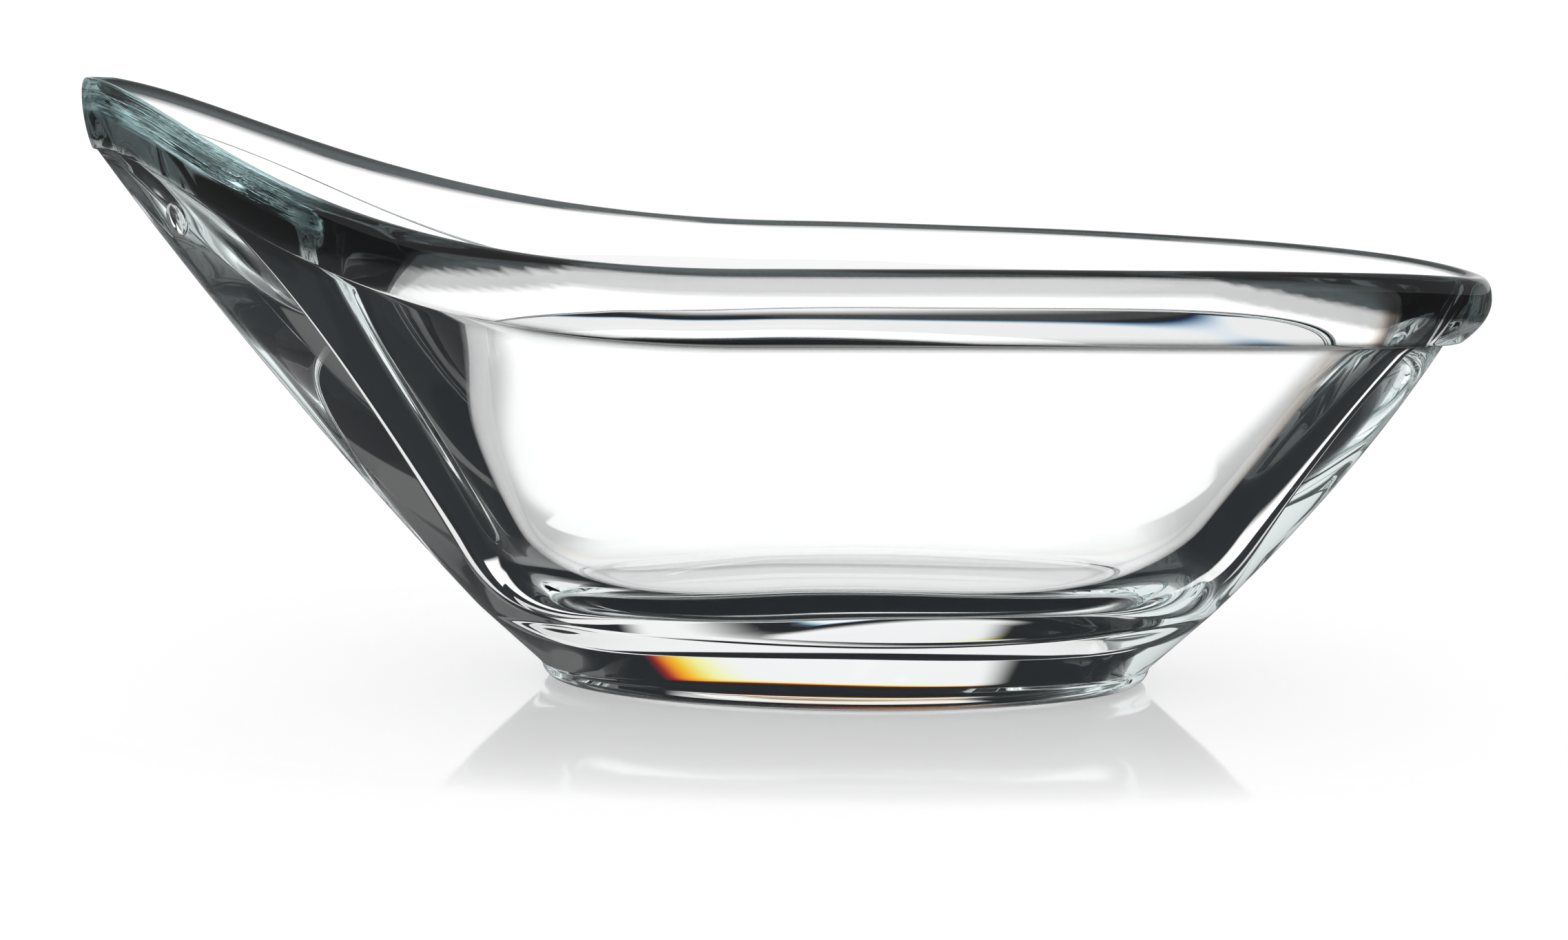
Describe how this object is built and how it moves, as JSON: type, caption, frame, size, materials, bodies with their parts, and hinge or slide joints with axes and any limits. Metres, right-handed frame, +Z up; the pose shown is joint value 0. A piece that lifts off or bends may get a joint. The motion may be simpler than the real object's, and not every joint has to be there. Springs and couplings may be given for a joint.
{
  "type": "sauce dish",
  "caption": "Thick clear glass sauce dish: a leaf-shaped bowl with one raised pouring tip, on a solid oval foot.",
  "frame": {"origin": "on the table, below the middle of the rim's length and width", "axes": "+X along the dish towards its low end, with the raised tip at -X; +Y across it; +Z up"},
  "size_m": [0.1984, 0.079, 0.0847],
  "materials": {
    "clear_glass": "polished"
  },
  "bodies": {
    "root": {"bowl": "clear_glass", "foot": "clear_glass"}
  },
  "joints": []
}
